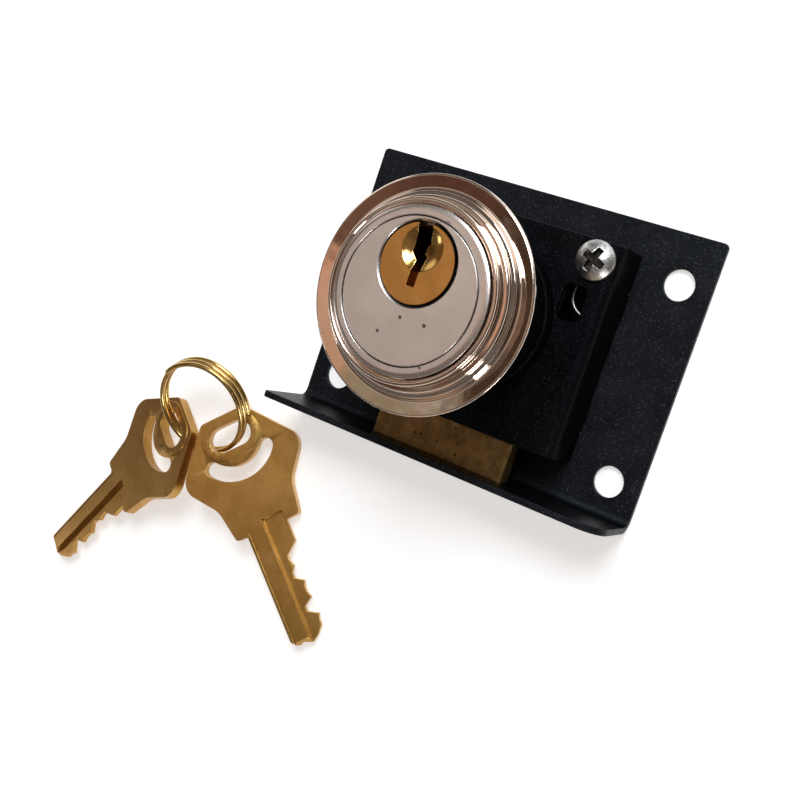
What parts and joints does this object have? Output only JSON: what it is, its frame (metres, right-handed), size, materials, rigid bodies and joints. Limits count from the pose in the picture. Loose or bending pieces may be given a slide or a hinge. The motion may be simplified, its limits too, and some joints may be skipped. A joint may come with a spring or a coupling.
{
  "type": "cabinet lock",
  "caption": "Half-mortise cabinet drawer lock: pin-tumbler cylinder with a stepped trim ring on a flanged plate, a sliding bolt, and two keys on a split ring.",
  "frame": {"origin": "centre of the four screw holes, on the back face of the plate", "axes": "+Z the way the cylinder faces, +X along the plate's long side, +Y away from the flange"},
  "size_m": [0.1176, 0.1023, 0.0374],
  "materials": {
    "black_paint": "satin black stoved paint",
    "black_tube": "semi-gloss black",
    "zinc_plate": "bright zinc plate",
    "spring_steel": "drawn wire",
    "satin_chrome": "satin plated casting",
    "mirror_nickel": "polished plate",
    "plug_brass": "turned brass",
    "pin_brass": "turned brass",
    "bolt_brass": "aged cast brass",
    "key_brass": "satin brass",
    "ring_brass": "drawn brass wire"
  },
  "bodies": {
    "root": {"back_plate": "black_paint", "case_cover": "black_paint", "case_screws": "zinc_plate", "screw_posts": "zinc_plate", "bolt_bearer": "zinc_plate", "detent_spring": "spring_steel", "cylinder_screws": "zinc_plate", "seat_collar": "black_tube", "barrel_tube": "black_tube", "cylinder_body": "satin_chrome", "chamber_cover": "plug_brass", "pin_springs": "spring_steel", "trim_ring": "mirror_nickel"},
    "plug": {"plug": "plug_brass", "key_pins": "pin_brass", "cam": "zinc_plate", "cam_screws": "zinc_plate"},
    "bolt": {"bolt": "bolt_brass"},
    "driver_pins": {"driver_pins": "pin_brass"},
    "split_ring": {"split_ring": "ring_brass"},
    "key_front": {"key_front": "key_brass"},
    "key_rear": {"key_rear": "key_brass"}
  },
  "joints": [
    {"name": "plug_turn", "type": "hinge", "parent": "root", "child": "plug", "pos_m": [0, 0.0069, 0.0374], "axis": [0, 0, -1], "range_deg": [0, 180]},
    {"name": "bolt_slide", "type": "slide", "parent": "root", "child": "bolt", "axis": [0, -1, 0], "range_m": [0, 0.0085]},
    {"name": "driver_travel", "type": "slide", "parent": "root", "child": "driver_pins", "axis": [0, -1, 0], "range_m": [0, 0.0018], "deforming": ["pin_springs"]},
    {"name": "ring_lift", "type": "slide", "parent": "root", "child": "split_ring", "axis": [0, 0, 1], "range_m": [0, 0.03]},
    {"name": "key_front_fan", "type": "hinge", "parent": "split_ring", "child": "key_front", "pos_m": [-0.0435, -0.0365, 0.00475], "axis": [0, 0, 1], "range_deg": [0, 30]},
    {"name": "key_rear_fan", "type": "hinge", "parent": "split_ring", "child": "key_rear", "pos_m": [-0.05759, -0.03948, 0.00535], "axis": [0, 0, -1], "range_deg": [0, 15]}
  ],
  "couplings": [
    {"joint": "plug_turn", "follows": "bolt_slide", "rad_per_m": 369.6}
  ]
}
